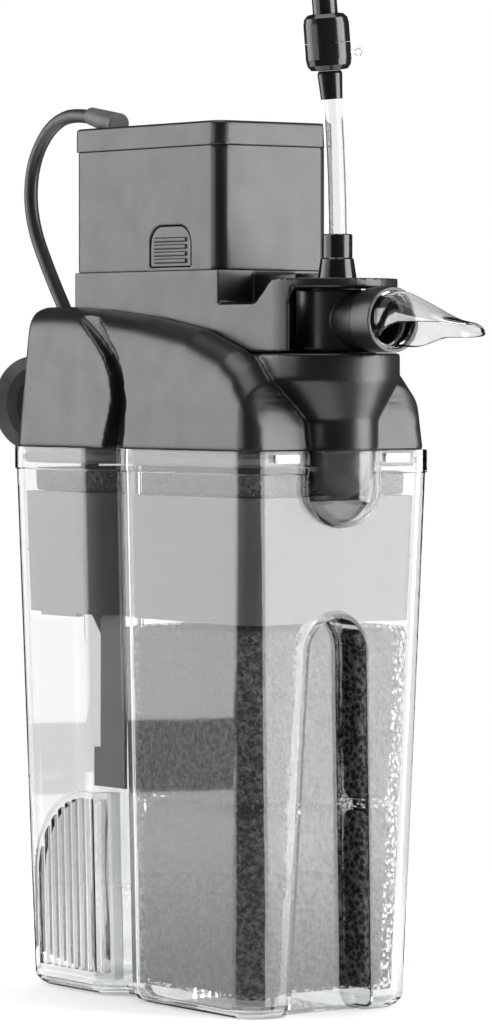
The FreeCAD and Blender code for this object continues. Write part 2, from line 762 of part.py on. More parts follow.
def diffuser():
    """The clear duck-bill: a short tube in the collar that opens into a flat spoon."""
    stations = [MOUTH_Y, -130, -138, -147, -156, -166, TIP_Y]
    outer = Part.makeLoft([spoon_section(y, 0) for y in stations], True, True)
    inner = Part.makeLoft([spoon_section(y, BILL_WALL) for y in stations], True, True)
    inner.translate(V(0, 0, -0.02))
    nose = [(-20, -121, 0), (-20, TIP_Y, 19.0), (20, TIP_Y, 19.0), (20, -121, 0)]
    spoon = outer.cut(inner).common(slab(nose, plan(260), V(0, 0, 60)))
    root = tube(MOUTH_R - RUNNING, MOUTH_R - BILL_WALL, V(0, -114, PIPE_Z), -114 - MOUTH_Y + 0.4, -Y_AXIS)
    root = root.cut(box(-14, 14, MOUTH_Y - 1, MOUTH_Y, PIPE_Z - 14, PIPE_Z + BILL_EDGE))
    shape = spoon.fuse(root)
    shape.rotate(V(0, 0, PIPE_Z), Y_AXIS, ROLL_DEG)
    return shape


# ---- air line ----

def air_spigot():
    profile = [(0, 0), (8.2, 0), (7.0, 8.0), (6.4, 8.6), (6.4, 18.1), (6.0, 18.5), (0, 18.5)]
    cone = turned(profile, V(0, BARREL_Y, HOOD_Z))
    cone = cone.cut(rod(2.2, V(0, BARREL_Y, HOOD_Z - 1), 30))
    return cone.cut(rod(TUBE_R + RUNNING, V(0, BARREL_Y, TUBE_FOOT_Z - 0.1), 30))


def tube_arc():
    """The air tube's centre line, a shallow arc from the spigot to the valve."""
    start = V(0, BARREL_Y, TUBE_FOOT_Z)
    middle = V(TUBE_TOP.x / 4, BARREL_Y, 350)
    return Part.Wire([Part.Arc(start, middle, TUBE_TOP).toShape()])


def air_tube():
    path = tube_arc()
    ring = Part.Wire(Part.makeCircle(TUBE_R, V(0, BARREL_Y, TUBE_FOOT_Z), UP))
    bore = Part.Wire(Part.makeCircle(TUBE_BORE_R, V(0, BARREL_Y, TUBE_FOOT_Z), UP))
    return path.makePipeShell([ring], True, False).cut(path.makePipeShell([bore], True, False))


def valve_turned(profile):
    axis = V(VALVE_AXIS)
    axis.normalize()
    return turned(profile, TUBE_TOP, axis)


def valve_socket():
    return valve_turned([(0, 0.4), (4.5, 0.4), (5.2, 11.0), (4.6, 12.2), (0, 12.2)])


def valve_body():
    core = VALVE_CORE_R - RUNNING
    profile = [
        (0, 12.3), (4.0, 12.3), (7.6, 12.6), (9.0, 14.4), (VALVE_R, 17.0), (VALVE_R, 23.6),
        (core, 23.6), (core, 28.5), (0, 28.5),
    ]
    return valve_turned(profile)


def valve_cap():
    """The upper half, which turns on the lower one to meter the air."""
    profile = [
        (VALVE_CORE_R, 23.8), (VALVE_R, 23.8), (VALVE_R, 31.6), (9.0, 34.0), (7.4, 35.6), (5.2, 36.0),
        (5.2, 43.0), (3.0, 43.0), (3.0, 30.5), (0, 30.5), (0, 29.0), (VALVE_CORE_R, 29.0),
    ]
    return valve_turned(profile)


def valve_clip():
    """A small wire loop on the side of the valve."""
    loop = Part.makeTorus(1.5, 0.4, V(11.5, BARREL_Y, 402.5), V(0.3, 1, 0.2))
    stem = rod(0.4, V(6.9, BARREL_Y, 402.5), 3.2, X_AXIS)
    return loop.fuse(stem)


# ---- mains lead ----

CORD_ROUTE = [
    (CORD_HOLE_X, 62.0, 378.6), (CORD_HOLE_X, 85.5, 384.0), (-14.5, 108.8, 378.6), (-14, 124.4, 360.8),
    (-13.0, 126.2, 337.0), (-11.0, 113.5, 312.0), (-7.5, 98.0, 285), (-1.5, 97.0, 250),
    (1.0, 101.0, 212), (6.0, 108.0, 174), (22.0, 112.5, 138), (42.5, 107.0, 110),
    (57.0, 88.0, 86), (62.5, 68.0, 63), (63.2, 62.5, 40), (63.2, 71.0, 19.0),
    (63.3, 88.5, 6.0), (63.6, 110, 3.3),
]


def fillet_radius(before, corner, after):
    """The largest tidy radius at a corner: 0.45 of the shorter run over tan(half turn)."""
    first = corner - before
    second = after - corner
    turn = first.getAngle(second)
    return 0.45 * min(first.Length, second.Length) / math.tan(turn / 2)


def route_wire(points):
    """Straight runs joined by tangent arcs."""
    edges = []
    last = points[0]
    for before, corner, after in zip(points, points[1:], points[2:]):
        radius = fillet_radius(before, corner, after)
        print("cord radius", round(radius, 1))
        start, middle, end = corner_arc(before, corner, after, radius)
        edges.append(Part.LineSegment(last, start).toShape())
        edges.append(Part.Arc(start, middle, end).toShape())
        last = end
    edges.append(Part.LineSegment(last, points[-1]).toShape())
    return Part.Wire(edges)


def power_cord():
    points = [V(*p) for p in CORD_ROUTE]
    path = route_wire(points)
    ring = Part.Wire(Part.makeCircle(CORD_R, points[0], points[1] - points[0]))
    shape = path.makePipeShell([ring], True, False)
    section = math.pi * CORD_R ** 2
    print("cord length", round(path.Length, 1), "volume ratio", shape.Volume / (section * path.Length))
    return shape


def strain_relief():
    """A taper that leads the cord out of the cap."""
    start = V(*CORD_ROUTE[0])
    heading = V(*CORD_ROUTE[1]) - start
    heading.normalize()
    profile = [
        (0, -8.6), (5.4, -8.6), (5.2, -6.0), (3.9, 13.5), (3.5, 14.0), (CORD_R, 14.0), (CORD_R, 0), (0, 0),
    ]
    sleeve = turned(profile, start, heading)
    return sleeve.cut(box(-40, 10, 0, 100, CAP_TOP_Z - 20, CAP_TOP_Z))


def cord_coil():
    """The stored turns of the lead, as one ring."""
    return tube(COIL_OUT_R, COIL_IN_R, COIL_CENTRE + V(0, 0, 0.1), COIL_H)


def coil_tie():
    """A soft band round the turns, on the coil's front side."""
    x = COIL_CENTRE.x
    inner_y = COIL_CENTRE.y - COIL_IN_R
    outer_y = COIL_CENTRE.y - COIL_OUT_R
    band = box(x - 3, x + 3, outer_y - 1.2, inner_y + 1.6, 0.02, COIL_H + 1.3)
    return band.cut(box(x - 4, x + 4, outer_y - 0.1, inner_y + 0.5, 0.08, COIL_H + 0.12))


def plug_body():
    """A flat two-pin plug that lies on the coil."""
    outline = [
        (PLUG_X, PLUG_Y - 7, 3.0), (PLUG_X + 34, PLUG_Y - 14, 4.0),
        (PLUG_X + 34, PLUG_Y + 14, 4.0), (PLUG_X, PLUG_Y + 7, 3.0),
    ]
    return slab(outline, plan(PLUG_Z - 6.6), V(0, 0, 13.2))


def plug_pins():
    return group([rod(2.0, V(PLUG_X + 34, PLUG_Y + dy, PLUG_Z), 19, X_AXIS) for dy in (-9.5, 9.5)])


# ---- build ----

os.makedirs("parts", exist_ok=True)

save("canister", canister())
save("inlet_grille_left", inlet_grille(-1))
save("inlet_grille_right", inlet_grille(1))
save("partition_grille", partition_grille())
save("rim_catches", rim_catches())
save("lower_foam", foam_block(FOAM_LOW_Z, FOAM_SPLIT_Z))
save("upper_foam", foam_block(FOAM_SPLIT_Z + FOAM_GAP, FOAM_TOP_Z))
save("media_basket", media_basket())
save("basket_guides", basket_guides())
save("basket_lid", basket_lid())
save("bio_media", bio_media())
save("fine_pad", fine_pad())
save("head_cover", head_cover())
save("rim_seal", rim_seal())
save("suction_cup_left", suction_cup(-CUP_X))
save("suction_cup_right", suction_cup(CUP_X))
save("cup_studs", cup_studs())
save("pump_base", pump_base())
save("motor_housing", motor_housing())
save("motor_cap", motor_cap())
save("cap_screws", cap_screws())
save("stator_core", stator_core())
save("stator_coil", stator_coil())
save("rotor_well", rotor_well())
save("rotor_magnet", rotor_magnet())
save("impeller", impeller())
save("impeller_shaft", impeller_shaft())
save("lower_bush", shaft_bush(281.6))
save("upper_bush", shaft_bush(340.0))
save("volute_cover", volute_cover())
save("volute_seal", volute_seal())
save("latch_left", latch(-1))
save("latch_right", latch(1))
save("latch_spring_left", latch_spring(-1))
save("latch_spring_right", latch_spring(1))
save("outlet_barrel", outlet_barrel())
save("barrel_seal", barrel_seal())
save("outlet_collar", outlet_collar())
save("diffuser", diffuser())
save("air_spigot", air_spigot())
save("air_tube", air_tube())
save("valve_socket", valve_socket())
save("valve_body", valve_body())
save("valve_cap", valve_cap())
save("valve_clip", valve_clip())
save("strain_relief", strain_relief())
save("power_cord", power_cord())
save("cord_coil", cord_coil())
save("coil_tie", coil_tie())
save("plug_body", plug_body())
save("plug_pins", plug_pins())
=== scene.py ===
import json
import math

import bmesh
import bpy
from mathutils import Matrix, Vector, noise


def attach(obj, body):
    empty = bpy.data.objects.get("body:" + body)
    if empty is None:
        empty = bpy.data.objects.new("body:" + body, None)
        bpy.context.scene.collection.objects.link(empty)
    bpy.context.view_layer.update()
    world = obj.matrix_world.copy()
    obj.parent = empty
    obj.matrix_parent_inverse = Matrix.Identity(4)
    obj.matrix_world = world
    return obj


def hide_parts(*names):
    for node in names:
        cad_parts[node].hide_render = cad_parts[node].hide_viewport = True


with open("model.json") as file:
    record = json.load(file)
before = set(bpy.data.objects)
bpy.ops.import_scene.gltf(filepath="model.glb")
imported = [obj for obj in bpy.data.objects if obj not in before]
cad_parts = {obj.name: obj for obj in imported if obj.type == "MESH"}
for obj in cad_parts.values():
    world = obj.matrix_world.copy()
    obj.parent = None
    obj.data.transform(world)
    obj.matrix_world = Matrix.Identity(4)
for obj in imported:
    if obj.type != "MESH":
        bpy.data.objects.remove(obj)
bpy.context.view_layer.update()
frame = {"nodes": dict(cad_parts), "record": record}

MM = 0.001
NODES = frame["nodes"]
BODY_OF = {n: b for b, names in frame["record"]["behaviour"]["bodies"].items() for n in names}

# Mains lead, in millimetres: the route from the cap to the stored coil, then the coil's own sizes.
CORD_D = 6.2
CORD_ROUTE = [
    (-15, 62.0, 378.6), (-15, 85.5, 384.0), (-14.5, 108.8, 378.6), (-14, 124.4, 360.8),
    (-13.0, 126.2, 337.0), (-11.0, 113.5, 312.0), (-7.5, 98.0, 285), (-1.5, 97.0, 250),
    (1.0, 101.0, 212), (6.0, 108.0, 174), (22.0, 112.5, 138), (42.5, 107.0, 110),
    (57.0, 88.0, 86), (62.5, 68.0, 63), (63.2, 62.5, 40), (63.2, 71.0, 19.0),
    (63.3, 88.5, 6.0),
]
COIL_CENTRE = (105.8, 108.0)
COIL_START_R = 42.2
COIL_PITCH = 6.35
COIL_LOW_Z = 3.3
COIL_HIGH_Z = 9.6
POINTS_A_TURN = 15
INWARD_TURNS = 2.0
CLIMB_TURNS = 0.5
OUTWARD_TURNS = 1.5
LIFT_TURNS = 0.19
LAST_R = 32.0
PLUG_Z = 19.4
PLUG_ENTRY = (100.0, 140.0, PLUG_Z)

# Diffuser, in millimetres: a clear duck-bill on the outlet's mouth, rolled to one side.
PIPE_Z = 290.6
THROAT_Y = -120.9
THROAT_R = 11.8
THROAT_SHARE = 0.22
THROAT_LEFT = 233
THROAT_SWEEP = 286
SLEEVE_ROWS_Y = (-115.0, -118.0, THROAT_Y)
TIP_Y = -178.0
ROLL = math.radians(15)
MOUTH_HALF = 11.9
BILL_HALF = 13.0
BILL_WALL = 1.2
NOSE_START = 0.62
NOSE_POWER = 2.2
TOP_HIGH = 13.2
TOP_DROP = 12.4
TOP_SLOPE = 2.6
LOW_START = -9.6
LOW_RISE = 5.4
ARCH_POWER = 0.8
ROWS_ALONG = 40
ROWS_AROUND = 32

# Foam blocks, in millimetres: their backs are moved towards the grooves' inner walls.
FOAM_BACK_Y = -4.0
FOAM_REACH = 2.6
FOAM_SEAM = 2.0
CORE_SHRINK = (4.6, 0.8, 1.0)
CORE_SHIFT_X = -2.4

# Camera: metres and degrees.
CAMERA_AT = (-1.2232, -1.6923, 0.2722)
CAMERA_LENS = 170.5
CAMERA_DOWN = 1.74
CAMERA_TURN = -36.18

# Lights, in metres: where they stand and how wide they are.
KEY_DISTANCE = 1.7
KEY_LOW = -0.75
KEY_HIGH = 1.45
KEY_WIDTH = 1.3
RIGHT = (0.62, -0.78, 0)
LEFT = (-0.66, 0.75, 0)
LEFT_FRONT = (-0.985, 0.17, 0)
OVERHEAD_SIZE = 1.5
OVERHEAD_AT = (-0.1, 0.1, 2.0)
UPLIGHT_SIZE = 2.4
UPLIGHT_AT = (0, 0, -0.9)
FLOOR_HALF = 6


# ---- camera and cord ----

def make_camera():
    """A long lens that looks slightly down at the object from the outlet's left."""
    data = bpy.data.cameras.new("camera")
    data.lens = CAMERA_LENS
    data.clip_end = 20
    cam = bpy.data.objects.new("camera", data)
    cam.location = CAMERA_AT
    cam.rotation_euler = (math.radians(90 - CAMERA_DOWN), 0, math.radians(CAMERA_TURN))
    bpy.context.scene.collection.objects.link(cam)
    bpy.context.scene.camera = cam


def coil_points():
    """The stored turns: inwards on the floor, up, outwards on top, and up to the plug."""
    points = []
    top_start = INWARD_TURNS + CLIMB_TURNS
    lift_start = top_start + OUTWARD_TURNS
    total = lift_start + LIFT_TURNS
    count = int(total * POINTS_A_TURN)
    inner_r = COIL_START_R - COIL_PITCH * INWARD_TURNS
    outer_r = inner_r + COIL_PITCH * OUTWARD_TURNS
    for i in range(count + 1):
        turn = i / POINTS_A_TURN
        if turn <= INWARD_TURNS:
            radius, z = COIL_START_R - COIL_PITCH * turn, COIL_LOW_Z
        elif turn <= top_start:
            ease = 0.5 - 0.5 * math.cos(math.pi * (turn - INWARD_TURNS) / CLIMB_TURNS)
            radius, z = inner_r, COIL_LOW_Z + (COIL_HIGH_Z - COIL_LOW_Z) * ease
        elif turn <= lift_start:
            radius, z = inner_r + COIL_PITCH * (turn - top_start), COIL_HIGH_Z
        else:
            ease = (turn - lift_start) / LIFT_TURNS
            radius = outer_r + (LAST_R - outer_r) * ease
            z = COIL_HIGH_Z + (PLUG_Z - COIL_HIGH_Z) * (0.5 - 0.5 * math.cos(math.pi * ease))
        angle = math.pi - 2 * math.pi * turn
        x = COIL_CENTRE[0] + radius * math.cos(angle)
        y = COIL_CENTRE[1] + radius * math.sin(angle)
        points.append((x, y, z))
    return points


def make_cord():
    """The whole lead as one smooth spline."""
    points = CORD_ROUTE + coil_points() + [PLUG_ENTRY]
    curve = bpy.data.curves.new("mains_lead", "CURVE")
    curve.dimensions = "3D"
    curve.resolution_u = 8
    curve.bevel_depth = CORD_D / 2 * MM
    curve.bevel_resolution = 5
    curve.use_fill_caps = True
    spline = curve.splines.new("NURBS")
    spline.points.add(len(points) - 1)
    for point, (x, y, z) in zip(spline.points, points):
        point.co = (x * MM, y * MM, z * MM, 1)
    spline.order_u = 3
    spline.use_endpoint_u = True
    lead = bpy.data.objects.new("mains_lead", curve)
    bpy.context.scene.collection.objects.link(lead)
    return lead


make_camera()
cord = make_cord()


# ---- materials ----

class Shader:
    """A small helper that builds one node material."""

    def __init__(self, name):
        self.material = bpy.data.materials.new(name)
        self.material.use_nodes = True
        self.tree = self.material.node_tree
        self.nodes = self.tree.nodes
        self.bsdf = self.nodes["Principled BSDF"]
        self.coords = self.nodes.new("ShaderNodeTexCoord").outputs["Object"]

    def link(self, source, target):
        self.tree.links.new(source, target)

    def noise(self, scale, detail=3.0, rough=0.5, stretch=None):
        node = self.nodes.new("ShaderNodeTexNoise")
        node.inputs["Scale"].default_value = scale
        node.inputs["Detail"].default_value = detail
        node.inputs["Roughness"].default_value = rough
        source = self.coords
        if stretch:
            mapping = self.nodes.new("ShaderNodeMapping")
            mapping.inputs["Scale"].default_value = stretch
            self.link(self.coords, mapping.inputs["Vector"])
            source = mapping.outputs["Vector"]
        self.link(source, node.inputs["Vector"])
        return node.outputs["Fac"]

    def cells(self, scale):
        node = self.nodes.new("ShaderNodeTexVoronoi")
        node.inputs["Scale"].default_value = scale
        self.link(self.coords, node.inputs["Vector"])
        return node.outputs["Distance"]

    def ramp(self, source, stops):
        node = self.nodes.new("ShaderNodeValToRGB")
        elements = node.color_ramp.elements
        while len(elements) < len(stops):
            elements.new(0.5)
        for element, (place, value) in zip(elements, stops):
            element.position = place
            element.color = value if hasattr(value, "__len__") else (value, value, value, 1)
        self.link(source, node.inputs["Fac"])
        return node.outputs["Color"]

    def math(self, operation, a, b):
        node = self.nodes.new("ShaderNodeMath")
        node.operation = operation
        for socket, value in zip(node.inputs, (a, b)):
            if isinstance(value, (int, float)):
                socket.default_value = value
            else:
                self.link(value, socket)
        return node.outputs[0]

    def bump(self, height, strength, distance):
        node = self.nodes.new("ShaderNodeBump")
        node.inputs["Strength"].default_value = strength
        node.inputs["Distance"].default_value = distance
        self.link(height, node.inputs["Height"])
        self.link(node.outputs["Normal"], self.bsdf.inputs["Normal"])

    def set(self, **values):
        for name, value in values.items():
            self.bsdf.inputs[name.replace("_", " ")].default_value = value
        return self


def moulded(name, dark, light, rough_low, rough_high, grain):
    """Injection-moulded plastic: fine spark-eroded grain, faint flow marks and uneven gloss."""
    s = Shader(name)
    flow = s.noise(26, 4, 0.6, (1, 1, 0.35))
    fine = s.noise(1900, 2, 0.5)
    s.link(s.ramp(flow, [(0.3, dark), (0.75, light)]), s.bsdf.inputs["Base Color"])
    s.link(s.ramp(s.noise(70, 3, 0.6), [(0.3, rough_low), (0.7, rough_high)]), s.bsdf.inputs["Roughness"])
    s.bump(fine, grain, 0.00012)
    return s


def black_plastic():
    return moulded("black_plastic", (0.006, 0.0065, 0.0065, 1), (0.012, 0.013, 0.013, 1), 0.29, 0.37, 0.22)


def gloss_black():
    return moulded("gloss_black", (0.004, 0.004, 0.0045, 1), (0.008, 0.008, 0.009, 1), 0.15, 0.22, 0.08)


def clear_plastic(name, tint, roughness, ior=1.52):
    """Clear moulded plastic with faint ripple. Light passes it without being focused."""
    s = Shader(name)
    s.set(Base_Color=tint, Roughness=roughness, IOR=ior, Transmission_Weight=1.0)
    s.bump(s.noise(9, 2, 0.4, (1, 1, 0.3)), 0.12, 0.0016)
    through = s.nodes.new("ShaderNodeBsdfTransparent")
    through.inputs["Color"].default_value = tuple(0.93 * c for c in tint[:3]) + (1,)
    paths = s.nodes.new("ShaderNodeLightPath")
    mix = s.nodes.new("ShaderNodeMixShader")
    s.link(paths.outputs["Is Shadow Ray"], mix.inputs["Fac"])
    s.link(s.bsdf.outputs["BSDF"], mix.inputs[1])
    s.link(through.outputs["BSDF"], mix.inputs[2])
    s.link(mix.outputs["Shader"], s.nodes["Material Output"].inputs["Surface"])
    return s


def foam(name, cell, dark, light, strength):
    """Open-cell foam: pale struts round pores that are painted near black as painted shade in the holes.
    """
    s = Shader(name)
    pores = s.cells(cell)
    small = s.cells(cell * 2.1)
    both = s.math("ADD", pores, s.math("MULTIPLY", small, 0.4))
    # Painted shade: the near-black stop at the pore centres stands in for shade inside the holes; the pale
    # stop is the struts' own colour.
    s.link(s.ramp(both, [(0.58, dark), (0.95, light)]), s.bsdf.inputs["Base Color"])
    s.set(Roughness=0.95)
    s.bump(both, strength, 0.0012)
    return s


def open_foam(name, cell, dark, light, strength):
    """The skin of a foam block, with real gaps between its struts."""
    s = foam(name, cell, dark, light, strength)
    gap = s.ramp(s.cells(cell * 1.25), [(0.50, 1.0), (0.60, 0.0)])
    through = s.nodes.new("ShaderNodeBsdfTransparent")
    mix = s.nodes.new("ShaderNodeMixShader")
    s.link(gap, mix.inputs["Fac"])
    s.link(s.bsdf.outputs["BSDF"], mix.inputs[1])
    s.link(through.outputs["BSDF"], mix.inputs[2])
    s.link(mix.outputs["Shader"], s.nodes["Material Output"].inputs["Surface"])
    return s


def grey_translucent():
    s = Shader("grey_translucent")
    s.link(s.ramp(s.noise(18, 3, 0.5), [(0.3, (0.020, 0.021, 0.021, 1)), (0.7, (0.030, 0.031, 0.031, 1))]),
           s.bsdf.inputs["Base Color"])
    s.set(Roughness=0.42, Transmission_Weight=0.12, IOR=1.46)
    s.bump(s.noise(420, 2, 0.5), 0.1, 0.0002)
    return s


def rubber(name, base, roughness):
    s = Shader(name)
    lift = tuple(min(1.0, 1.6 * c) for c in base[:3]) + (1,)
    s.link(s.ramp(s.noise(60, 4, 0.6), [(0.3, base), (0.75, lift)]), s.bsdf.inputs["Base Color"])
    s.link(s.ramp(s.noise(240, 3, 0.6), [(0.3, roughness - 0.06), (0.7, roughness + 0.06)]),
           s.bsdf.inputs["Roughness"])
    s.bump(s.noise(900, 3, 0.6), 0.15, 0.0002)
    return s


def metal(name, base, roughness, stretch):
    s = Shader(name)
    s.set(Base_Color=base, Metallic=1.0)
    brushed = s.noise(300, 3, 0.6, stretch)
    s.link(s.ramp(brushed, [(0.3, roughness - 0.08), (0.7, roughness + 0.08)]), s.bsdf.inputs["Roughness"])
    s.bump(brushed, 0.08, 0.0002)
    return s


def ceramic(name, base, roughness, cell):
    s = Shader(name)
    pale = tuple(min(1.0, 1.15 * c) for c in base[:3]) + (1,)
    s.link(s.ramp(s.noise(120, 4, 0.6), [(0.3, base), (0.7, pale)]), s.bsdf.inputs["Base Color"])
    s.set(Roughness=roughness)
    s.bump(s.cells(cell), 0.3, 0.0003)
    return s


MATERIAL = {
    "clear_canister": clear_plastic("clear_canister", (0.81, 0.822, 0.822, 1), 0.02, 1.38),
    "clear_grille": clear_plastic("clear_grille", (0.68, 0.69, 0.69, 1), 0.05),
    "catch": clear_plastic("clear_catch", (0.97, 0.975, 0.975, 1), 0.15).set(Transmission_Weight=0.9),
    "clear_outlet": clear_plastic("clear_outlet", (0.88, 0.885, 0.895, 1), 0.015, 1.42),
    "clear_tube": clear_plastic("clear_tube", (0.91, 0.915, 0.915, 1), 0.1, 1.2),
    "grey_clear": grey_translucent(),
    # Foam colours: the first is painted shade in the pores, the second is the struts' own colour.
    "foam": foam("coarse_foam", 400, (0.002, 0.002, 0.002, 1), (0.075, 0.075, 0.08, 1), 1.0),
    "fine_foam": foam("fine_foam", 620, (0.004, 0.004, 0.004, 1), (0.05, 0.05, 0.052, 1), 0.9),
    "ceramic": ceramic("ceramic_media", (0.62, 0.57, 0.49, 1), 0.85, 1200),
    "black_plastic": black_plastic(),
    "air_black": gloss_black(),
    "rubber": rubber("black_rubber", (0.05, 0.051, 0.052, 1), 0.5),
    "stud": gloss_black(),
    "cord": rubber("cord_sheath", (0.012, 0.012, 0.013, 1), 0.42),
    "plug": rubber("plug_rubber", (0.014, 0.014, 0.015, 1), 0.5),
    "pin": metal("plated_pin", (0.78, 0.75, 0.68, 1), 0.25, (0.1, 1, 1)),
    "tie": rubber("tie_rubber", (0.03, 0.03, 0.032, 1), 0.6),
    "steel": metal("stainless", (0.62, 0.62, 0.63, 1), 0.3, (1, 0.1, 1)),
    "iron": metal("lamination", (0.30, 0.30, 0.31, 1), 0.45, (1, 1, 8)),
    "copper": metal("enamelled_copper", (0.72, 0.36, 0.18, 1), 0.3, (1, 1, 10)),
    "magnet": metal("ferrite", (0.16, 0.16, 0.17, 1), 0.55, (1, 1, 1)),
    "ceramic_shaft": ceramic("ceramic_shaft", (0.82, 0.82, 0.80, 1), 0.2, 3000),
    "impeller": moulded("impeller_grey", (0.30, 0.31, 0.33, 1), (0.38, 0.39, 0.41, 1), 0.3, 0.4, 0.1),
}
# The first colour is painted shade in the pores, the second is the struts' own colour.
OPEN_FOAM = open_foam("open_foam", 400, (0.002, 0.002, 0.002, 1), (0.075, 0.075, 0.08, 1), 1.0)
SLOT_OF = {s["node"]: s["material_slot"] for s in frame["record"]["subparts"]}


def paint(piece, slot):
    piece.data.materials.clear()
    piece.data.materials.append(MATERIAL[slot].material)


def smooth(mesh, degrees=35):
    """Smooth shading with sharp edges kept."""
    mesh.shade_smooth()
    mesh.set_sharp_from_angle(angle=math.radians(degrees))


# ---- pieces ----

def finish_cad_nodes():
    """Every node that keeps its own shape gets its material and smooth shading."""
    for name, node in NODES.items():
        paint(node, SLOT_OF[name])
        smooth(node.data)


def remeshed(name, node, voxel, passes, keep=1.0):
    """A new object with an even, softened copy of a CAD piece's surface."""
    piece = bpy.data.objects.new(name, NODES[node].data.copy())
    bpy.context.scene.collection.objects.link(piece)
    remesh = piece.modifiers.new("remesh", "REMESH")
    remesh.mode = "VOXEL"
    remesh.voxel_size = voxel * MM
    relax = piece.modifiers.new("relax", "SMOOTH")
    relax.factor = 0.5
    relax.iterations = passes
    if keep < 1.0:
        thin = piece.modifiers.new("thin", "DECIMATE")
        thin.ratio = keep
    baked = bpy.data.meshes.new_from_object(piece.evaluated_get(bpy.context.evaluated_depsgraph_get()))
    piece.modifiers.clear()
    piece.data = baked
    return piece


def softened(node, voxel, passes, keep=1.0):
    """A moulded version of a CAD piece, with all its edges rounded off."""
    piece = remeshed(node + "_moulded", node, voxel, passes, keep)
    piece.data.shade_smooth()
    paint(piece, SLOT_OF[node])
    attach(piece, BODY_OF[node])
    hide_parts(node)
    return piece


def shrunk(piece, side, front, end):
    """Moves the points of a foam's core inwards, by distances in millimetres."""
    low, high = [Vector(c) for c in (piece.bound_box[0], piece.bound_box[6])]
    centre = (low + high) / 2
    half = (high - low) / 2
    keep = [1 - d * MM / h for d, h in zip((side, front, end), half)]
    for v in piece.data.vertices:
        v.co = Vector(centre[i] + (v.co[i] - centre[i]) * keep[i] for i in range(3))


def foam_piece(node, seam_z, seam_shift):
    """A cut foam block: an open-celled skin round a dense core, moved at seam_z towards its neighbour."""
    skin = remeshed(node + "_skin", node, 1.6, 4)
    for v in skin.data.vertices:
        v.co += v.normal * (noise.noise(v.co * 380) * 0.45 * MM - 0.2 * MM)
        if v.co.y > FOAM_BACK_Y * MM:
            v.co.y += FOAM_REACH * MM
        if abs(v.co.z - seam_z * MM) < FOAM_SEAM * MM:
            v.co.z += seam_shift * MM
    skin.data.shade_smooth()
    paint(skin, "foam")
    skin.data.materials[0] = OPEN_FOAM.material
    core = remeshed(node + "_core", node, 2.5, 6)
    shrunk(core, *CORE_SHRINK)
    for v in core.data.vertices:
        v.co.x += CORE_SHIFT_X * MM
        if v.co.y > (FOAM_BACK_Y - 2) * MM:
            v.co.y += FOAM_REACH * MM
    core.data.shade_smooth()
    paint(core, "foam")
    for piece in (skin, core):
        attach(piece, BODY_OF[node])
    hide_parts(node)


def pad_piece(node):
    """The fine pad on top of the basket, with softened edges and a rough face."""
    pad = remeshed(node + "_cut", node, 1.6, 4)
    for v in pad.data.vertices:
        v.co += v.normal * (noise.noise(v.co * 500) * 0.35 * MM - 0.15 * MM)
    pad.data.shade_smooth()
    paint(pad, SLOT_OF[node])
    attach(pad, BODY_OF[node])
    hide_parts(node)


def smooth_step(t):
    t = max(0.0, min(1.0, t))
    return t * t * (3 - 2 * t)


def bill_point(along, around):
    """A point of the duck-bill: along runs 0 to 1 from mouth to tip, around 0 to 1 from edge to edge."""
    nose = max(0.0, (along - NOSE_START) / (1 - NOSE_START))
    half = MOUTH_HALF + (BILL_HALF - MOUTH_HALF) * smooth_step(3 * along)
    half *= math.sqrt(max(0.0, 1 - nose ** NOSE_POWER))
    top = TOP_HIGH - TOP_DROP * smooth_step(0.08 + 0.92 * along) - TOP_SLOPE * along
    low = LOW_START + LOW_RISE * smooth_step(2.4 * along)
    angle = math.pi * (1 - around)
    x = half * math.cos(angle)
    z = low + (top - low) * math.sin(angle) ** ARCH_POWER
    throat_angle = math.radians(THROAT_LEFT - THROAT_SWEEP * around)
    opened = smooth_step(along / THROAT_SHARE)
    x = THROAT_R * math.cos(throat_angle) * (1 - opened) + x * opened
    z = THROAT_R * math.sin(throat_angle) * (1 - opened) + z * opened
    y = THROAT_Y + (TIP_Y - THROAT_Y) * along
    rolled_x = x * math.cos(ROLL) + z * math.sin(ROLL)
    rolled_z = PIPE_Z - x * math.sin(ROLL) + z * math.cos(ROLL)
    return Vector((rolled_x, y, rolled_z)) * MM


def sheet_of(build, rows):
    """Quads between rows of points."""
    grid = [[build.verts.new(point) for point in row] for row in rows]
    for row, following in zip(grid, grid[1:]):
        for a, b, c, d in zip(row, row[1:], following[1:], following):
            build.faces.new((a, b, c, d))


def ring_row(radius, y, count=48):
    """A closed ring of points about the outlet's axis."""
    turns = [2 * math.pi * i / count for i in range(count + 1)]
    return [Vector((radius * math.sin(t), y, PIPE_Z + radius * math.cos(t))) * MM for t in turns]


def diffuser_piece():
    """The clear duck-bill, and the short sleeve that holds it in the collar."""
    mesh = bpy.data.meshes.new("diffuser_clear")
    build = bmesh.new()
    sheet_of(build, [[bill_point(i / ROWS_ALONG, j / ROWS_AROUND) for j in range(ROWS_AROUND + 1)]
                     for i in range(ROWS_ALONG)])
    sheet_of(build, [ring_row(THROAT_R, y) for y in SLEEVE_ROWS_Y])
    bmesh.ops.remove_doubles(build, verts=build.verts, dist=0.01 * MM)
    bmesh.ops.recalc_face_normals(build, faces=build.faces)
    build.to_mesh(mesh)
    build.free()
    piece = bpy.data.objects.new("diffuser_clear", mesh)
    bpy.context.scene.collection.objects.link(piece)
    wall = piece.modifiers.new("wall", "SOLIDIFY")
    wall.thickness = BILL_WALL * MM
    wall.offset = -1
    baked = bpy.data.meshes.new_from_object(piece.evaluated_get(bpy.context.evaluated_depsgraph_get()))
    piece.modifiers.clear()
    piece.data = baked
    smooth(baked, 40)
    paint(piece, SLOT_OF["diffuser"])
    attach(piece, BODY_OF["diffuser"])
    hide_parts("diffuser")


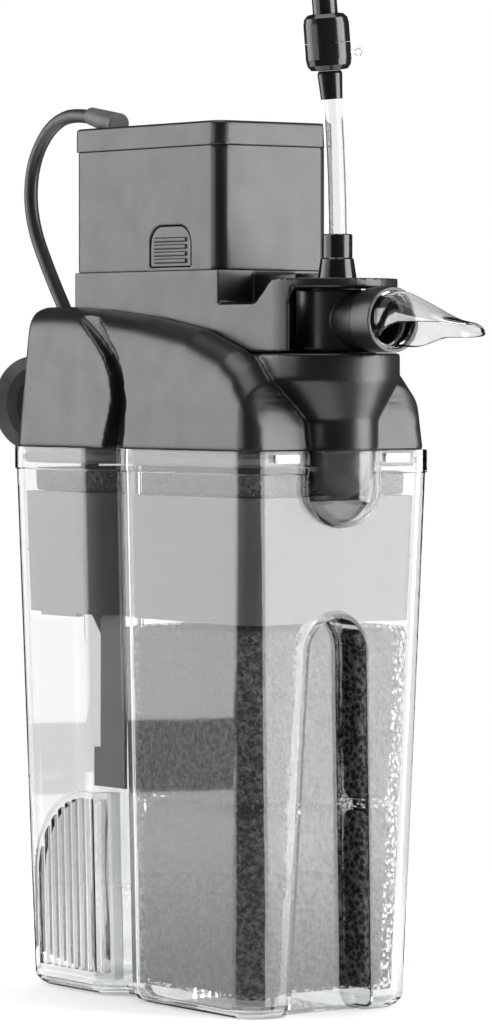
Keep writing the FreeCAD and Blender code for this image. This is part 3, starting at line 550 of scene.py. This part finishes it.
finish_cad_nodes()
diffuser_piece()
softened("head_cover", 0.9, 6, 0.35)
softened("pump_base", 0.7, 3, 0.35)
softened("motor_housing", 0.7, 2, 0.3)
softened("motor_cap", 0.6, 2, 0.3)
softened("outlet_barrel", 0.5, 2, 0.5)
for small in ("latch_left", "latch_right", "outlet_collar", "plug_body", "strain_relief"):
    softened(small, 0.3, 3, 0.5)

foam_piece("lower_foam", 85.0, 1.2)
foam_piece("upper_foam", 88.0, -1.2)
pad_piece("fine_pad")

paint(cord, "cord")
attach(cord, "pump")
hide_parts("power_cord", "cord_coil")


# ---- floor, light and background ----

def make_floor():
    """Pale paper that fades out to the white room."""
    mesh = bpy.data.meshes.new("floor")
    build = bmesh.new()
    bmesh.ops.create_grid(build, x_segments=1, y_segments=1, size=FLOOR_HALF)
    build.to_mesh(mesh)
    build.free()
    floor = bpy.data.objects.new("floor", mesh)
    bpy.context.scene.collection.objects.link(floor)
    s = Shader("floor_paper")
    s.link(s.ramp(s.noise(3, 2, 0.5), [(0.3, 0.9), (0.7, 0.94)]), s.bsdf.inputs["Base Color"])
    s.set(Roughness=0.9)
    length = s.nodes.new("ShaderNodeVectorMath")
    length.operation = "LENGTH"
    s.link(s.coords, length.inputs[0])
    through = s.nodes.new("ShaderNodeBsdfTransparent")
    mix = s.nodes.new("ShaderNodeMixShader")
    s.link(s.ramp(length.outputs["Value"], [(0.15, 0.0), (0.55, 1.0)]), mix.inputs["Fac"])
    s.link(s.bsdf.outputs["BSDF"], mix.inputs[1])
    s.link(through.outputs["BSDF"], mix.inputs[2])
    s.link(mix.outputs["Shader"], s.nodes["Material Output"].inputs["Surface"])
    mesh.materials.append(s.material)
    floor.visible_glossy = False


def softbox(name, direction, low, high, width, radiance):
    """An upright rectangular light at KEY_DISTANCE, from height low to height high, facing the object."""
    data = bpy.data.lights.new(name, "AREA")
    data.shape = "RECTANGLE"
    data.size = width
    data.size_y = high - low
    data.energy = radiance * math.pi * width * (high - low)
    lamp = bpy.data.objects.new(name, data)
    middle = Vector((0, 0, (low + high) / 2))
    lamp.location = Vector(direction).normalized() * KEY_DISTANCE + middle
    lamp.rotation_euler = (middle - lamp.location).to_track_quat("-Z", "Y").to_euler()
    bpy.context.scene.collection.objects.link(lamp)


def overhead(radiance):
    """A square light over the object, for the tops of the shoulders."""
    data = bpy.data.lights.new("overhead", "AREA")
    data.size = OVERHEAD_SIZE
    data.energy = radiance * math.pi * OVERHEAD_SIZE ** 2
    lamp = bpy.data.objects.new("overhead", data)
    lamp.location = OVERHEAD_AT
    bpy.context.scene.collection.objects.link(lamp)


def make_world():
    """A white room: bright behind the object, dim in reflections, and softer as a fill light."""
    world = bpy.data.worlds.new("studio")
    bpy.context.scene.world = world
    world.use_nodes = True
    tree = world.node_tree
    paths = tree.nodes.new("ShaderNodeLightPath")

    def step(operation, a, b, c=0.0):
        node = tree.nodes.new("ShaderNodeMath")
        node.operation = operation
        for socket, value in zip(node.inputs, (a, b, c)):
            if isinstance(value, float):
                socket.default_value = value
            else:
                tree.links.new(value, socket)
        return node.outputs[0]

    reflected = step("MULTIPLY", paths.outputs["Is Glossy Ray"],
                     step("SUBTRACT", 1.0, paths.outputs["Is Transmission Ray"]))
    strength = step("MULTIPLY_ADD", reflected, -0.95, 1.0)
    strength = step("MULTIPLY_ADD", paths.outputs["Is Diffuse Ray"], -0.45, strength)
    tree.nodes["Background"].inputs["Color"].default_value = (1, 1, 1, 1)
    tree.links.new(strength, tree.nodes["Background"].inputs["Strength"])


def uplight(radiance):
    """A broad light under the floor, for undersides that lean towards it."""
    data = bpy.data.lights.new("uplight", "AREA")
    data.size = UPLIGHT_SIZE
    data.energy = radiance * math.pi * UPLIGHT_SIZE ** 2
    lamp = bpy.data.objects.new("uplight", data)
    lamp.location = UPLIGHT_AT
    lamp.rotation_euler = (math.pi, 0, 0)
    bpy.context.scene.collection.objects.link(lamp)


make_floor()
make_world()
softbox("key_right", RIGHT, KEY_LOW, KEY_HIGH, KEY_WIDTH, 8.4)
softbox("key_left", LEFT, 0.205, KEY_HIGH, KEY_WIDTH, 4.5)
softbox("key_left_middle", LEFT, -0.047, 0.205, KEY_WIDTH, 3.4)
softbox("key_left_gap", LEFT, -0.103, -0.047, KEY_WIDTH, 0.5)
softbox("key_left_low", LEFT, KEY_LOW, -0.103, KEY_WIDTH, 3.1)
softbox("side_fill", LEFT_FRONT, 0.21, 0.8, 1.0, 3.0)
overhead(3.0)
uplight(2.4)

scene = bpy.context.scene
scene.view_settings.view_transform = "Standard"
scene.cycles.max_bounces = 16
scene.cycles.transmission_bounces = 16
scene.cycles.transparent_max_bounces = 24
